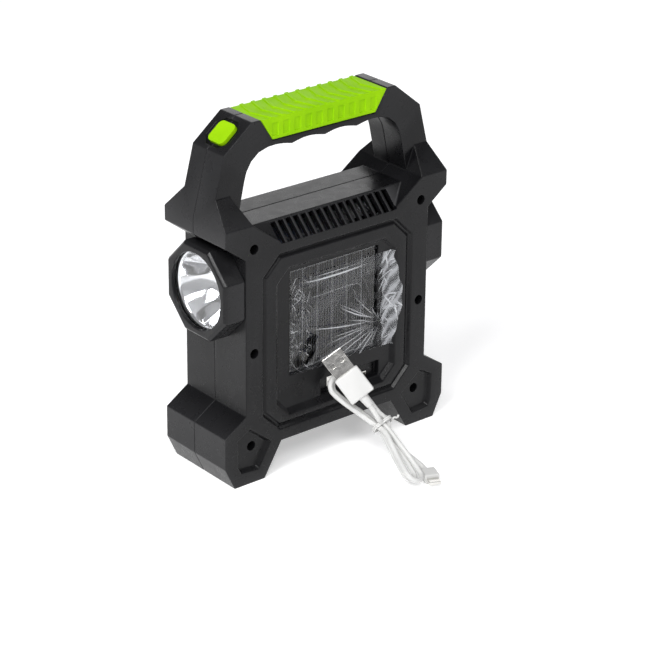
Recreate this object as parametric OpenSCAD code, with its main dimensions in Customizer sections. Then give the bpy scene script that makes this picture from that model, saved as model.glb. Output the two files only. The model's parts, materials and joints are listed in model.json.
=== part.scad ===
// Portable solar flood light: a carry-handle work lamp with a solar panel on its back,
// a flood lamp on its front and a torch head on each side.
// Millimetres, +Z up, the flood lamp faces -Y, the solar panel faces +Y.
// The origin is on the floor, under the middle of the lamp.

/* [Body] */
// Depth of the housing, front to back
body_d = 51; // [49:0.5:53]
// Half width of the body between the shoulders and the feet
body_hw = 60.5; // [60:0.5:61]
// Height of the flat deck under the handle
deck_z = 138.5; // [138:0.5:139]
// Wall thickness of the two housing shells
wall = 2.4; // [2.2:0.1:2.6]
// Plane where the front and the rear shell meet
seam_y = -1; // [-2:0.5:0]

/* [Handle] */
// Height of the top of the handle
top_z = 191.5; // [190:0.5:193]
// Depth of the handle, front to back
handle_d = 26; // [25:0.5:27]
// Distance from one finger wave to the next
wave_pitch = 21.2; // [20:0.2:22]
// How far each finger wave arches up
wave_rise = 1.6; // [1:0.1:2]
// Thickness of the soft grip
grip_t = 2; // [1.8:0.1:2.2]

/* [Button] */
// Width of the square button cap
button_w = 12.6; // [12:0.2:13]
// How far the button can be pressed
button_travel = 1.5; // [1:0.1:1.5]
// Running gap round the button
button_gap = 0.2; // [0.15:0.05:0.3]

/* [Lamp heads] */
// Width across the flats of the eight-sided lamp heads
head_af = 49.5; // [49:0.5:50.5]
// Height of the axis of the lamp heads
head_z = 103.5; // [103:0.5:104]
// Distance from the middle of the lamp to the front of a head
head_x = 73; // [72.5:0.5:74]
// Radius of the opening in the front of a head
aperture_r = 20.5; // [20:0.5:21]

/* [Solar panel] */
// Width of the window over the solar cells
panel_w = 58.8; // [57:0.2:60]
// Height of the window over the solar cells
panel_h = 57.8; // [57:0.2:59]
// Height of the middle of the window
panel_z = 81; // [80.5:0.5:81.5]
// Number of cell strips in the panel
cell_strips = 6; // [4:1:8]

/* [Vents] */
// Number of cooling slots under the handle
slot_count = 16; // [12:1:16]
// Distance from one slot to the next
slot_pitch = 4.9; // [4.6:0.1:4.9]
// Width of one slot
slot_w = 3.3; // [3:0.1:3.4]

/* [Flood lamp] */
// Rows of light chips
chip_rows = 8; // [6:1:9]
// Light chips in one row
chip_cols = 8; // [6:1:9]

/* [Batteries] */
// Diameter of one battery cell
cell_d = 18.4; // [18:0.1:18.6]
// Length of one battery cell
cell_l = 65; // [64:0.5:66]

/* [Charging cable] */
// Diameter of the cable
cable_d = 2.8; // [2.6:0.1:3]
// Width of the upper loops of the tied bundle
upper_loop_w = 15; // [14:0.5:16]
// Width of the lower loops of the tied bundle
lower_loop_w = 13; // [12.5:0.5:13.5]
// Width of the bundle at its tie
neck_w = 9; // [8.5:0.5:9.5]
// Thickness of the tied bundle
hank_t = 6.4; // [6.2:0.1:6.8]

/* [Hidden] */
$fn = 48;
eps = 0.02;
half_d = body_d / 2;
handle_hd = handle_d / 2;

// Outline of the body, seen from the front: right half, from the bottom middle round to the top
body_bottom_z = 18.5;
shoulder_z = 142.7;
notch_z = 128.6;
diag_slope = (shoulder_z - notch_z) / (55.5 - 36);
deck_hw = 36 + (deck_z - notch_z) / diag_slope;
half_outline = [[37.5, body_bottom_z], [48.5, 0], [68, 0], [74, 12.5], [74, 30],
    [body_hw, 38.8], [body_hw, 125], [73.2, 134.5], [73.2, shoulder_z],
    [55.5, shoulder_z], [36, notch_z]];

// Handle: outer outline and the hand opening
leg_foot_z = 155.8;
slope_top = [46.8, top_z];
slope_foot = [64.1, top_z - 13.9];
slope_angle = atan2(slope_top.y - slope_foot.y, slope_foot.x - slope_top.x);
slope_mid = (slope_top + slope_foot) / 2;
arch_half = [[73.2, 136], [73.2, shoulder_z], [69.7, leg_foot_z], slope_foot, slope_top];
finger_z = 174.9;
window_corner = [[36.5, 176.3], [42.5, 174.6], [47, 171], [50, 166.2], [51.4, 161.5],
    [55.5, shoulder_z], [deck_hw, deck_z - 1]];

// Button, measured down from its sloping face
button_foot = -4.6;
plunger_foot = -8.2;

// Back face: an eight-sided groove round a plateau, with the panel's recess in its middle
groove_y = half_d - 2;
plateau_y = half_d - 0.9;
recess_y = half_d - 3.5;
inner_rear_y = half_d - 5.1;
inner_front_y = -(half_d - 5);
bay_x = [-31, 8.6];
bay_z = [34.5, 43.5];
bay_w = bay_x[1] - bay_x[0];
bay_h = bay_z[1] - bay_z[0];
bay_floor_y = 18.5;
usb_x = -5.5;
charge_x = -21;
pocket_rim = [[44.5, 20.5], [52.5, 6.8], [63.9, 7.7], [65.8, 11.6], [66, 26.6], [58, 31.2]];

// Screws that hold the two shells
screw_xz = [[55.2, 130], [55.2, 73], [55.5, 20]];
screw_seat_y = 9;
screw_r = 1.45;

// Front stack, from the outside in
front_y = -half_d;
lens_y = front_y + 1.1;
gasket_y = lens_y + 1.6;
ledge_y = gasket_y + 0.8;
board_y = -14;
sink_y = board_y + 1.6;
flood_z = 76;
sink_screw_xz = [[50, 46], [50, 116]];

// Battery pack
cell_y = 7;
cell_zs = [70.5, 90];
cell_r = cell_d / 2;

// Tied cable: the bundle leans from the floor up to the back face, with a bend at its tie
hank_top = [5, 26.3, 46.3];
hank_neck = [-9.5, 50.5, 23];
hank_foot = [-5, 84.2, 3.3];
upper_roll = 60;
lower_roll = 20;
tie_roll = 30;
plug_tip = [7.8, 28.9, 60.4];
plug_heading = 114.6;
plug_tilt = 47.1;
plug_roll = 56;
plug_shell_l = 12.3;
plug_body_l = 15.3;
relief_l = 6;
// Free stretch from the plug to the tie
lead_route = [[-1.7, 49.6, 35.9], [-2.8, 51.5, 33], [-4.2, 52.5, 30], [-5.8, 52.3, 27.2], [-7.6, 51, 24.8]];
// Free stretch from the bundle to the small plug on the floor
tail_route = [[-9.6, 56, 18], [-12.8, 60.6, 12.6], [-16.8, 65.4, 8.2], [-19.4, 70.6, 4.2], [-18.8, 76, 2.8]];
charge_plug_heading = 67;

BLACK = [0.16, 0.16, 0.17];
GREEN = [0.55, 0.85, 0.08];
SILVER = [0.82, 0.83, 0.85];
BOARD = [0.1, 0.35, 0.18];
CLEAR = [0.85, 0.9, 0.95, 0.35];
WHITE = [0.93, 0.93, 0.92];
RUBBER = [0.1, 0.1, 0.1];

// ---------- helpers ----------

// Right half of an outline joined to its mirror image
function both_halves(half) = concat(half, [for (i = [len(half) - 1:-1:0]) [-half[i].x, half[i].y]]);

// Point where two lines meet, each given by a point and a direction
function meet(p, u, q, v) = p + u * ((q.x - p.x) * v.y - (q.y - p.y) * v.x) / (u.x * v.y - u.y * v.x);
function unit(v) = v / norm(v);

// A counter-clockwise outline with every edge moved inwards by t
function inset(pts, t) = [for (i = [0:len(pts) - 1])
    let (a = pts[(i + len(pts) - 1) % len(pts)], b = pts[i], c = pts[(i + 1) % len(pts)],
        u = unit(b - a), v = unit(c - b))
    meet(b + t * [-u.y, u.x], u, b + t * [-v.y, v.x], v)];

// Eight-sided outline w wide and h high round [0, z], its corners cut by c
function octagon(w, h, c, z) = [[w / 2 - c, z - h / 2], [w / 2, z - h / 2 + c],
    [w / 2, z + h / 2 - c], [w / 2 - c, z + h / 2], [c - w / 2, z + h / 2],
    [-w / 2, z + h / 2 - c], [-w / 2, z - h / 2 + c], [c - w / 2, z - h / 2]];

// Regular octagon across flats af round the origin
function regular_octagon(af) = octagon(af, af, af * (1 - 1 / (1 + sqrt(2))) / 2, 0);

// A flat X-Z outline drawn out along Y from y0 to y1
module along_y(y0, y1) {
    translate([0, y1, 0]) rotate([90, 0, 0]) linear_extrude(y1 - y0) children();
}

// A flat Y-Z outline drawn out along X from x0 to x1
module along_x(x0, x1) {
    translate([x0, 0, 0]) rotate([90, 0, 90]) linear_extrude(x1 - x0) children();
}

module both_sides() {
    children();
    mirror([1, 0, 0]) children();
}

// A round rod along Y from y0 to y1
module rod_y(x, z, r, y0, y1) {
    translate([x, y0, z]) rotate([-90, 0, 0]) cylinder(r = r, h = y1 - y0);
}

// Square with rounded corners, centred
module rounded_square(w, r) {
    union() {
        square([w, w - 2 * r], center = true);
        square([w - 2 * r, w], center = true);
        for (x = [-1, 1], y = [-1, 1]) translate([x, y] * (w / 2 - r)) circle(r);
    }
}

// Frame of the sloping face that holds the button: +Z points out of the face
module on_button_face() {
    translate([slope_mid.x, 0, slope_mid.y]) rotate([0, slope_angle, 0]) children();
}

// Frame with its origin at a and +X pointing at b, rolled about that line from level
module aimed(a, b, roll) {
    v = b - a;
    translate(a) rotate([0, 0, atan2(v.y, v.x)]) rotate([0, atan2(-v.z, norm([v.x, v.y])), 0])
        rotate([roll, 0, 0]) children();
}

module plug_frame() {
    translate(plug_tip) rotate([0, 0, plug_heading]) rotate([0, plug_tilt, 0])
        rotate([plug_roll, 0, 0]) children();
}

// Round tube swept along a route
function route_dir(p, i) = unit(p[min(i + 1, len(p) - 1)] - p[max(i - 1, 0)]);
function ring(p, i, r, n) =
    let (t = route_dir(p, i), a = unit(cross(t, [1, 0, 0.2])), b = cross(t, a))
    [for (k = [0:n - 1]) p[i] + r * (cos(360 * k / n) * a + sin(360 * k / n) * b)];
module tube(route, d, n = 8) {
    last = len(route) - 1;
    polyhedron(
        points = [for (i = [0:last]) each ring(route, i, d / 2, n)],
        faces = concat(
            [[for (k = [0:n - 1]) k]],
            [for (i = [0:last - 1], k = [0:n - 1])
                [i * n + k, (i + 1) * n + k, (i + 1) * n + (k + 1) % n, i * n + (k + 1) % n]],
            [[for (k = [n - 1:-1:0]) last * n + k]]));
}

// ---------- outline of the whole housing ----------

function finger_waves() = [for (x = [-1.5 * wave_pitch:wave_pitch / 8:1.5 * wave_pitch])
    [x, finger_z + wave_rise * abs(sin(180 * x / wave_pitch))]];
function hand_window() = concat([for (p = window_corner) [p.x, p.y]],
    [for (i = [len(window_corner) - 1:-1:0]) [-window_corner[i].x, window_corner[i].y]],
    finger_waves());

module arch_profile() {
    difference() {
        polygon(both_halves(arch_half));
        polygon(hand_window());
        translate([-deck_hw, 130]) square([2 * deck_hw, deck_z - 130 + eps]);
    }
}

// Hollow of the handle: the arch pulled in by one wall all round
module arch_hollow_profile() {
    difference() {
        polygon(inset(both_halves([[73.2, 128], [73.2, shoulder_z], [69.7, leg_foot_z],
            slope_foot, slope_top]), wall));
        polygon(concat([for (p = window_corner) [p.x + 2 * (p.x > 50 ? 1 : 0.7), p.y + 1.6]],
            [for (i = [len(window_corner) - 1:-1:0])
                [-window_corner[i].x - 2 * (window_corner[i].x > 50 ? 1 : 0.7),
                    window_corner[i].y + 1.6]],
            [[-38, finger_z + wave_rise + wall], [38, finger_z + wave_rise + wall]]));
        translate([-56, 120]) square([112, 24]);
    }
}

module deck_profile(t) {
    h = half_d - t;
    s = t * 0.42;
    polygon([[-h, 110], [h, 110], [h, notch_z - s], [half_d - 10 - s, deck_z - t],
        [s - half_d + 10, deck_z - t], [-h, notch_z - s]]);
}

// Sloping ramps that spread a leg into its shoulder
module ramp() {
    intersection() {
        along_y(-half_d, half_d) polygon([[55.5, shoulder_z - 1], [55.5, shoulder_z],
            [60.7, leg_foot_z], [69.7, leg_foot_z], [73.2, shoulder_z], [73.2, shoulder_z - 1]]);
        along_x(50, 80) polygon([[-half_d, shoulder_z - 1], [half_d, shoulder_z - 1],
            [half_d, shoulder_z], [handle_hd, leg_foot_z], [-handle_hd, leg_foot_z],
            [-half_d, shoulder_z]]);
    }
}

module housing_outside() {
    along_y(-half_d, half_d) polygon(both_halves(half_outline));
    along_x(-deck_hw, deck_hw) deck_profile(0);
    along_y(-handle_hd, handle_hd) arch_profile();
    both_sides() ramp();
}

module housing_hollow() {
    along_y(inner_front_y, inner_rear_y) polygon(inset(both_halves(half_outline), wall));
    intersection() {
        along_x(-deck_hw + 3, deck_hw - 3) deck_profile(wall);
        along_y(-half_d, half_d)
            polygon([[-34, 120], [34, 120], [deck_hw - 3, deck_z - wall], [3 - deck_hw, deck_z - wall]]);
    }
    along_y(wall - handle_hd, handle_hd - wall) arch_hollow_profile();
}

// Trapezium that the soft grip covers, in the X-Z plane
module grip_profile(d) {
    polygon([[-41.3 - d, top_z + 2], [-41.3 - d, top_z], [-33.6 - d, top_z - 12 - d],
        [33.6 + d, top_z - 12 - d], [41.3 + d, top_z], [41.3 + d, top_z + 2]]);
}

module grip_pocket() {
    difference() {
        along_y(-handle_hd - 1, handle_hd + 1) grip_profile(0);
        along_y(grip_t - handle_hd, handle_hd - grip_t)
            translate([-60, top_z - 20]) square([120, 20 - grip_t]);
    }
}

// Room for the button: the sunk eight-sided seat and the square hole through the wall
module button_cuts() {
    on_button_face() {
        translate([0, 0, -1.2]) linear_extrude(10) polygon(octagon(17, 18, 4.5, 0));
        translate([0, 0, -6]) linear_extrude(10) rounded_square(button_w + 2 * button_gap, 3.2);
    }
}

// Ledges that carry the switch board inside the handle
module board_ledges() {
    on_button_face() for (s = [-1, 1])
        translate([-4, s * (handle_hd - wall - 0.6) - 0.9, -12.8]) cube([8, 1.8, 1.2]);
}

// ---------- shells ----------

module screw_posts(y0, y1, r) {
    both_sides() for (p = screw_xz) rod_y(p.x, p.y, r, y0, y1);
}

// Opening in both shells for the neck of a lamp head
module head_openings() {
    both_sides() translate([body_hw - 6, 0, head_z]) rotate([0, 90, 0])
        cylinder(r = aperture_r + 1.7, h = 20);
}

// A recess that narrows from the outline rim to the outline floor
module bevelled_recess(y_floor, floor, y_top, rim) {
    hull() {
        along_y(y_floor, y_floor + eps) polygon(floor);
        along_y(y_top, y_top + eps) polygon(rim);
    }
}

module panel_recess() {
    difference() {
        bevelled_recess(groove_y, octagon(97.2, 96.2, 10.2, 74.4), half_d, octagon(99.6, 98.6, 10.9, 74.4));
        hull() {
            along_y(groove_y - 1, groove_y) polygon(octagon(95.2, 94.2, 9.6, 74.4));
            along_y(plateau_y - eps, plateau_y) polygon(octagon(93, 92, 9, 74.4));
        }
    }
    bevelled_recess(recess_y, octagon(76, 78.2, 6.8, 73.1), plateau_y, octagon(80.6, 83, 8.2, 72.7));
}

module vent_slots() {
    for (i = [0:slot_count - 1])
        translate([(i - (slot_count - 1) / 2) * slot_pitch, half_d, notch_z])
            rotate([45, 0, 0])
                translate([-slot_w / 2, -3.4, 0.2]) cube([slot_w, 6, 12.6]);
}

module foot_pocket() {
    both_sides() bevelled_recess(half_d - 2.6, inset(pocket_rim, 1.2), half_d, pocket_rim);
}

module rear_housing() {
    color(BLACK) difference() {
        union() {
            difference() {
                housing_outside();
                housing_hollow();
            }
            intersection() {
                housing_outside();
                union() {
                    screw_posts(seam_y, half_d, 4.1);
                    translate([bay_x[0] - 2, bay_floor_y - 2, bay_z[0] - 2])
                        cube([bay_w + 4, inner_rear_y - bay_floor_y + 3, bay_h + 4]);
                    both_sides() rod_y(30, 27, 3, 1.6, inner_rear_y + 1);
                    board_ledges();
                }
            }
        }
        translate([-100, seam_y - 100, -1]) cube([200, 100, 300]);
        panel_recess();
        translate([-panel_w / 2, 10, panel_z - panel_h / 2]) cube([panel_w, 20, panel_h]);
        translate([bay_x[0], bay_floor_y, bay_z[0]]) cube([bay_w, 10, bay_h]);
        translate([usb_x - 7.4, 10, bay_z[0]]) cube([14.8, 10, 7.3]);
        translate([charge_x - 4.3, 10, bay_z[0]]) cube([8.6, 10, 3.2]);
        vent_slots();
        foot_pocket();
        grip_pocket();
        button_cuts();
        head_openings();
        both_sides() for (p = screw_xz) {
            rod_y(p.x, p.y, 2.6, screw_seat_y, half_d + 1);
            rod_y(p.x, p.y, 1.6, seam_y - 1, screw_seat_y + 1);
        }
        both_sides() rod_y(30, 27, 1.3, 0, 14);
    }
}

module front_housing() {
    color(BLACK) difference() {
        union() {
            difference() {
                housing_outside();
                housing_hollow();
            }
            intersection() {
                housing_outside();
                union() {
                    screw_posts(-half_d, seam_y, 3.6);
                    both_sides() for (p = sink_screw_xz) rod_y(p.x, p.y, 3, inner_front_y - 1, sink_y);
                    board_ledges();
                }
            }
        }
        translate([-100, seam_y, -1]) cube([200, 100, 300]);
        along_y(front_y - 1, ledge_y) polygon(octagon(100, 96, 13, flood_z));
        along_y(front_y - 1, 0) polygon(octagon(91, 87, 11.5, flood_z));
        grip_pocket();
        button_cuts();
        head_openings();
        both_sides() for (p = screw_xz) rod_y(p.x, p.y, 1.5, -14, 1);
        both_sides() for (p = sink_screw_xz) rod_y(p.x, p.y, 1.3, inner_front_y - 0.5, 0);
    }
}

// ---------- handle ----------

// Chevron ribs across the top of the grip
module grip_ribs() {
    for (i = [-5:5]) translate([i * 7.2, 0, top_z - 0.7]) linear_extrude(0.9)
        polygon([[-3.6, -handle_hd], [-1.2, -handle_hd], [2.4, 0], [-1.2, handle_hd],
            [-3.6, handle_hd], [0, 0]]);
}

module handle_grip() {
    color(GREEN) difference() {
        union() {
            difference() {
                along_y(-handle_hd, handle_hd) intersection() {
                    grip_profile(-0.08);
                    translate([-60, 0]) square([120, top_z - 0.4]);
                }
                along_y(grip_t - handle_hd - 0.04, handle_hd - grip_t + 0.04)
                    translate([-60, top_z - 20]) square([120, 20 - grip_t + 0.04]);
            }
            intersection() {
                grip_ribs();
                along_y(-handle_hd, handle_hd) polygon([[-41, top_z + 1], [-40.4, top_z - 1],
                    [40.4, top_z - 1], [41, top_z + 1]]);
            }
        }
        for (i = [-4.5:4.5], s = [-1, 1])
            translate([i * 7.1 - 1.9, s * handle_hd - 0.5, top_z - 9.9]) cube([3.8, 1, 6.6]);
    }
}

module power_button() {
    color(GREEN) on_button_face() {
        translate([0, 0, -3.7]) linear_extrude(4.3) rounded_square(button_w, 3);
        translate([0, 0, button_foot]) linear_extrude(1) rounded_square(button_w + 1.8, 3);
    }
}

module switch_plunger() {
    color(WHITE) on_button_face() translate([0, 0, plunger_foot])
        cylinder(r = 1.6, h = button_foot - plunger_foot);
}

module switch_body() {
    top = button_foot - button_travel - 0.3;
    color(RUBBER) on_button_face() difference() {
        translate([-4, -4, -10.4]) cube([8, 8, top + 10.4]);
        translate([0, 0, plunger_foot - button_travel - 0.2]) cylinder(r = 1.65, h = 5);
    }
}

module switch_board() {
    color(BOARD) on_button_face() translate([-7, -10.4, -11.6]) cube([14, 20.8, 1.2]);
}

// ---------- solar panel ----------

module panel_plate(y0, y1, d) {
    translate([-panel_w / 2 - d, y0, panel_z - panel_h / 2 - d])
        cube([panel_w + 2 * d, y1 - y0, panel_h + 2 * d]);
}

module solar_board() {
    color(BOARD) panel_plate(inner_rear_y - 2.4, inner_rear_y - 1.2, 1.5);
}

module solar_cells() {
    pitch = panel_w / cell_strips;
    color([0.06, 0.07, 0.16]) for (i = [0:cell_strips - 1])
        translate([-panel_w / 2 + i * pitch + 0.4, inner_rear_y - 1.2, panel_z - panel_h / 2 + 1.5])
            cube([pitch - 0.8, 0.4, panel_h - 3]);
}

module solar_cover() {
    color(CLEAR) panel_plate(inner_rear_y - 0.8, inner_rear_y, 1.5);
}

// Loose clear film over the panel; on one side it reaches past the window, up the bevel
module protective_film() {
    y0 = recess_y + 0.1;
    y1 = plateau_y + 0.1;
    color(CLEAR) translate([0, 0, 51.5]) linear_extrude(53.9)
        polygon([[-44, y1], [-39.9, y1], [-37.5, y0], [29.6, y0], [29.6, y0 + 0.8],
            [-37.1, y0 + 0.8], [-39.5, y1 + 0.8], [-44, y1 + 0.8]]);
}

// ---------- lamp heads, drawn for the +X side ----------

module head_shell() {
    difference() {
        union() {
            along_x(body_hw, head_x - 1.6) translate([0, head_z]) polygon(regular_octagon(head_af));
            hull() {
                along_x(head_x - 1.6, head_x - 1.6 + eps)
                    translate([0, head_z]) polygon(regular_octagon(head_af));
                along_x(head_x - eps, head_x) translate([0, head_z]) polygon(regular_octagon(head_af - 3));
            }
        }
        translate([body_hw - 1, 0, head_z]) rotate([0, 90, 0]) {
            cylinder(r = aperture_r + 1.5, h = head_x - body_hw - 1.3);
            cylinder(r = aperture_r, h = 30);
        }
        along_y(-half_d, half_d) polygon([[body_hw - 1, 124], [body_hw, 124.9], [73.2, 134.4], [60, 140]]);
    }
}

module head_lens() {
    translate([head_x - 4, 0, head_z]) rotate([0, 90, 0]) cylinder(r = aperture_r + 1.45, h = 1.7);
}

module head_seal() {
    translate([head_x - 5, 0, head_z]) rotate([0, 90, 0]) difference() {
        cylinder(r = aperture_r + 1.45, h = 0.98);
        translate([0, 0, -1]) cylinder(r = aperture_r + 0.2, h = 3);
    }
}

// Reflector bowl: a parabola turned round the lamp axis
function bowl(r0, depth, n) = [for (i = [0:n]) let (t = i / n) [4 + (r0 - 4) * sqrt(t), depth * t]];
module head_reflector() {
    depth = 18;
    inner = bowl(aperture_r - 0.4, depth, 10);
    outer = [for (i = [10:-1:0]) [inner[i].x + 0.9, inner[i].y - (i == 0 ? 0 : 0.5)]];
    translate([head_x - 5.1 - depth, 0, head_z]) rotate([0, 90, 0]) rotate_extrude()
        polygon(concat(inner, [[aperture_r + 1.4, depth], [aperture_r + 1.4, depth - 0.9]],
            [for (i = [9:-1:0]) outer[10 - i]]));
}

module head_led_board() {
    translate([head_x - 24.8, 0, head_z]) rotate([0, 90, 0]) cylinder(r = 8, h = 1.6);
}

module head_led() {
    translate([head_x - 23.2, 0, head_z]) rotate([0, 90, 0]) {
        cylinder(r = 2.6, h = 1);
        translate([0, 0, 1]) intersection() {
            sphere(r = 1.8);
            cylinder(r = 3, h = 3);
        }
    }
}

module torch_bezel() { color(BLACK) head_shell(); }
module torch_lens() { color(CLEAR) head_lens(); }
module torch_seal() { color(RUBBER) head_seal(); }
module torch_reflector() { color(SILVER) head_reflector(); }
module torch_led_board() { color(WHITE) head_led_board(); }
module torch_led() { color([0.95, 0.85, 0.3]) head_led(); }
module side_lamp_bezel() { mirror([1, 0, 0]) torch_bezel(); }
module side_lamp_lens() { mirror([1, 0, 0]) torch_lens(); }
module side_lamp_seal() { mirror([1, 0, 0]) torch_seal(); }
module side_lamp_reflector() { mirror([1, 0, 0]) torch_reflector(); }
module side_lamp_led_board() { mirror([1, 0, 0]) torch_led_board(); }
module side_lamp_led() { mirror([1, 0, 0]) torch_led(); }

// ---------- flood lamp ----------

module flood_bezel() {
    color(BLACK) difference() {
        along_y(front_y, ledge_y) polygon(octagon(99.8, 95.8, 12.95, flood_z));
        along_y(lens_y, ledge_y + 1) polygon(octagon(94.9, 90.9, 12, flood_z));
        along_y(front_y - 1, ledge_y + 1) polygon(octagon(90, 86, 11.3, flood_z));
    }
}

module flood_lens() {
    color(CLEAR) along_y(lens_y, gasket_y) polygon(octagon(94.6, 90.6, 11.9, flood_z));
}

module flood_gasket() {
    color(RUBBER) difference() {
        along_y(gasket_y, ledge_y) polygon(octagon(94.6, 90.6, 11.9, flood_z));
        along_y(gasket_y - 1, ledge_y + 1) polygon(octagon(91.2, 87.2, 11.5, flood_z));
    }
}

module flood_reflector() {
    color(SILVER) difference() {
        hull() {
            along_y(ledge_y, ledge_y + eps) polygon(octagon(90.6, 86.6, 11.4, flood_z));
            along_y(board_y - eps, board_y) polygon(octagon(82, 78, 10.2, flood_z));
        }
        hull() {
            along_y(ledge_y - eps, ledge_y) polygon(octagon(88.8, 84.8, 11, flood_z));
            along_y(board_y, board_y + eps) polygon(octagon(78, 74, 9.6, flood_z));
        }
    }
}

module flood_led_board() {
    color(WHITE) along_y(board_y, sink_y) polygon(octagon(84, 80, 10.5, flood_z));
}

module flood_leds() {
    color([0.95, 0.8, 0.25]) for (i = [0:chip_cols - 1], j = [0:chip_rows - 1])
        translate([(i - (chip_cols - 1) / 2) * 8.4 - 1.4, board_y - 0.8,
            flood_z + (j - (chip_rows - 1) / 2) * 8 - 1.75]) cube([2.8, 0.8, 3.5]);
}

module heat_sink() {
    color([0.7, 0.71, 0.73]) difference() {
        union() {
            along_y(sink_y, sink_y + 2) union() {
                polygon(octagon(88, 84, 11, flood_z));
                for (p = sink_screw_xz) translate([-54, p.y - 4]) square([108, 8]);
            }
            for (x = [-35:10:35]) translate([x - 0.8, sink_y + 2, 40]) cube([1.6, 4.2, 72]);
        }
        both_sides() for (p = sink_screw_xz) rod_y(p.x, p.y, 1.7, sink_y - 1, 0);
    }
}

module heat_sink_screws() {
    color(SILVER) both_sides() for (p = sink_screw_xz) {
        rod_y(p.x, p.y, 2.7, sink_y + 2, sink_y + 3.6);
        rod_y(p.x, p.y, 1.25, sink_y - 6, sink_y + 2);
    }
}

// ---------- batteries ----------

module battery_cell(z) {
    translate([-cell_l / 2, cell_y, z]) rotate([0, 90, 0]) {
        cylinder(r = cell_r, h = cell_l - 1.2);
        cylinder(r = 3.2, h = cell_l);
    }
}

module battery_holder() {
    color(RUBBER) difference() {
        translate([-37, -6, cell_zs[0] - 11]) cube([74, 9, cell_zs[1] - cell_zs[0] + 22]);
        for (z = cell_zs) translate([-34, cell_y, z]) rotate([0, 90, 0]) cylinder(r = cell_r + 0.2, h = 68);
    }
}

module battery_cell_upper() { color([0.2, 0.45, 0.75]) battery_cell(cell_zs[1]); }
module battery_cell_lower() { color([0.2, 0.45, 0.75]) battery_cell(cell_zs[0]); }

// Nickel tabs that press on the ends of the cells
module battery_contacts() {
    color(SILVER) for (z = cell_zs) {
        translate([-cell_l / 2 - 0.4, 0, z - 3]) cube([0.4, 12, 6]);
        translate([cell_l / 2, 0, z - 3]) cube([0.4, 12, 6]);
    }
}

// ---------- electronics ----------

module control_board() {
    color(BOARD) difference() {
        translate([-35, 0, 23]) cube([70, 1.6, 32]);
        both_sides() rod_y(30, 27, 1.5, -1, 3);
    }
}

module control_components() {
    color(RUBBER) {
        translate([-28, 1.6, 38]) cube([9, 1.8, 7]);
        translate([-14, 1.6, 46]) cube([6, 1.6, 5]);
        translate([18, 1.6, 38]) cube([7, 2, 7]);
        translate([27, 1.6, 42]) rotate([-90, 0, 0]) cylinder(r = 3, h = 7);
    }
}

module board_screws() {
    color(SILVER) both_sides() {
        rod_y(30, 27, 2.4, -1.6, 0);
        rod_y(30, 27, 1.25, 0, 8);
    }
}

module port_board() {
    color(BOARD) translate([bay_x[0] + 1, 1.6, bay_z[0] - 1.5]) cube([38, 14.8, 1.5]);
}

module usb_output_socket() {
    color(SILVER) difference() {
        translate([usb_x - 7.3, 5, bay_z[0]]) cube([14.6, bay_floor_y - 5, 7.1]);
        translate([usb_x - 6.7, 8, bay_z[0] + 0.6]) cube([13.4, 20, 5.9]);
    }
    color(WHITE) translate([usb_x - 5.9, 7.9, bay_z[0] + 3.9]) cube([11.8, bay_floor_y - 9, 1.8]);
}

module charging_socket() {
    color(SILVER) difference() {
        translate([charge_x - 4.2, 12, bay_z[0]]) cube([8.4, bay_floor_y - 12, 3]);
        translate([charge_x - 3.7, 14, bay_z[0] + 0.5]) cube([7.4, 20, 2]);
    }
}

// Two wires from the panel to the control board
module panel_leads() {
    color([0.7, 0.1, 0.1]) for (x = [-24, -21.5]) {
        rod_y(x, 56.5, 0.7, 4, inner_rear_y - 2.4);
        translate([x, 4, 48]) cylinder(r = 0.7, h = 8.5);
        translate([x, 4, 56.5]) sphere(r = 0.7);
        translate([x, 4, 48]) sphere(r = 0.7);
        rod_y(x, 48, 0.7, 1.6, 4);
    }
}

module housing_screws() {
    color([0.3, 0.3, 0.32]) both_sides() for (p = screw_xz) {
        rod_y(p.x, p.y, 2.45, screw_seat_y, screw_seat_y + 2);
        rod_y(p.x, p.y, screw_r, -13, screw_seat_y);
    }
}

// ---------- charging cable ----------

module usb_plug_shell() {
    color(SILVER) plug_frame() difference() {
        translate([0, -6, -2.25]) cube([plug_shell_l, 12, 4.5]);
        translate([-1, -5.7, -1.95]) cube([plug_shell_l - 1, 11.4, 3.9]);
        for (s = [-1, 1]) translate([4.5, s * 3 - 1.1, 0]) cube([2.2, 2.2, 4]);
    }
    color(WHITE) plug_frame() translate([0.6, -5.6, -1.9]) cube([plug_shell_l - 1.8, 11.2, 1.9]);
}

module usb_plug_body() {
    color(WHITE) plug_frame() {
        translate([plug_shell_l, -7.15, -3.9]) cube([plug_body_l, 14.3, 7.8]);
        translate([plug_shell_l + plug_body_l, 0, 0]) rotate([0, 90, 0])
            cylinder(r1 = 2.6, r2 = 1.8, h = relief_l);
    }
}

module cable_lead() { color(WHITE) tube(lead_route, cable_d); }
module cable_tail() { color(WHITE) tube(tail_route, cable_d); }

// Outer shape of one end of the tied bundle: wide and round at a, narrow at the tie
module loop_solid(a, w, roll) {
    aimed(a, hank_neck, roll) translate([0, 0, -hank_t / 2]) linear_extrude(hank_t) hull() {
        translate([w / 2, 0]) circle(w / 2, $fn = 32);
        translate([norm(hank_neck - a), 0]) circle(neck_w / 2, $fn = 32);
    }
}

module cable_hank() {
    color(WHITE) {
        loop_solid(hank_top, upper_loop_w, upper_roll);
        loop_solid(hank_foot, lower_loop_w, lower_roll);
    }
}

module cable_tie() {
    color(WHITE) aimed(hank_neck, hank_neck + hank_foot - hank_top, tie_roll) difference() {
        translate([-1.2, -neck_w / 2 - 1.6, -hank_t / 2 - 1.6]) cube([2.4, neck_w + 3.2, hank_t + 3.2]);
        translate([-2, -neck_w / 2 - 0.6, -hank_t / 2 - 0.6]) cube([4, neck_w + 1.2, hank_t + 1.2]);
    }
}

module charge_plug_frame() {
    translate(tail_route[len(tail_route) - 1]) rotate([0, 0, charge_plug_heading]) children();
}

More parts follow.
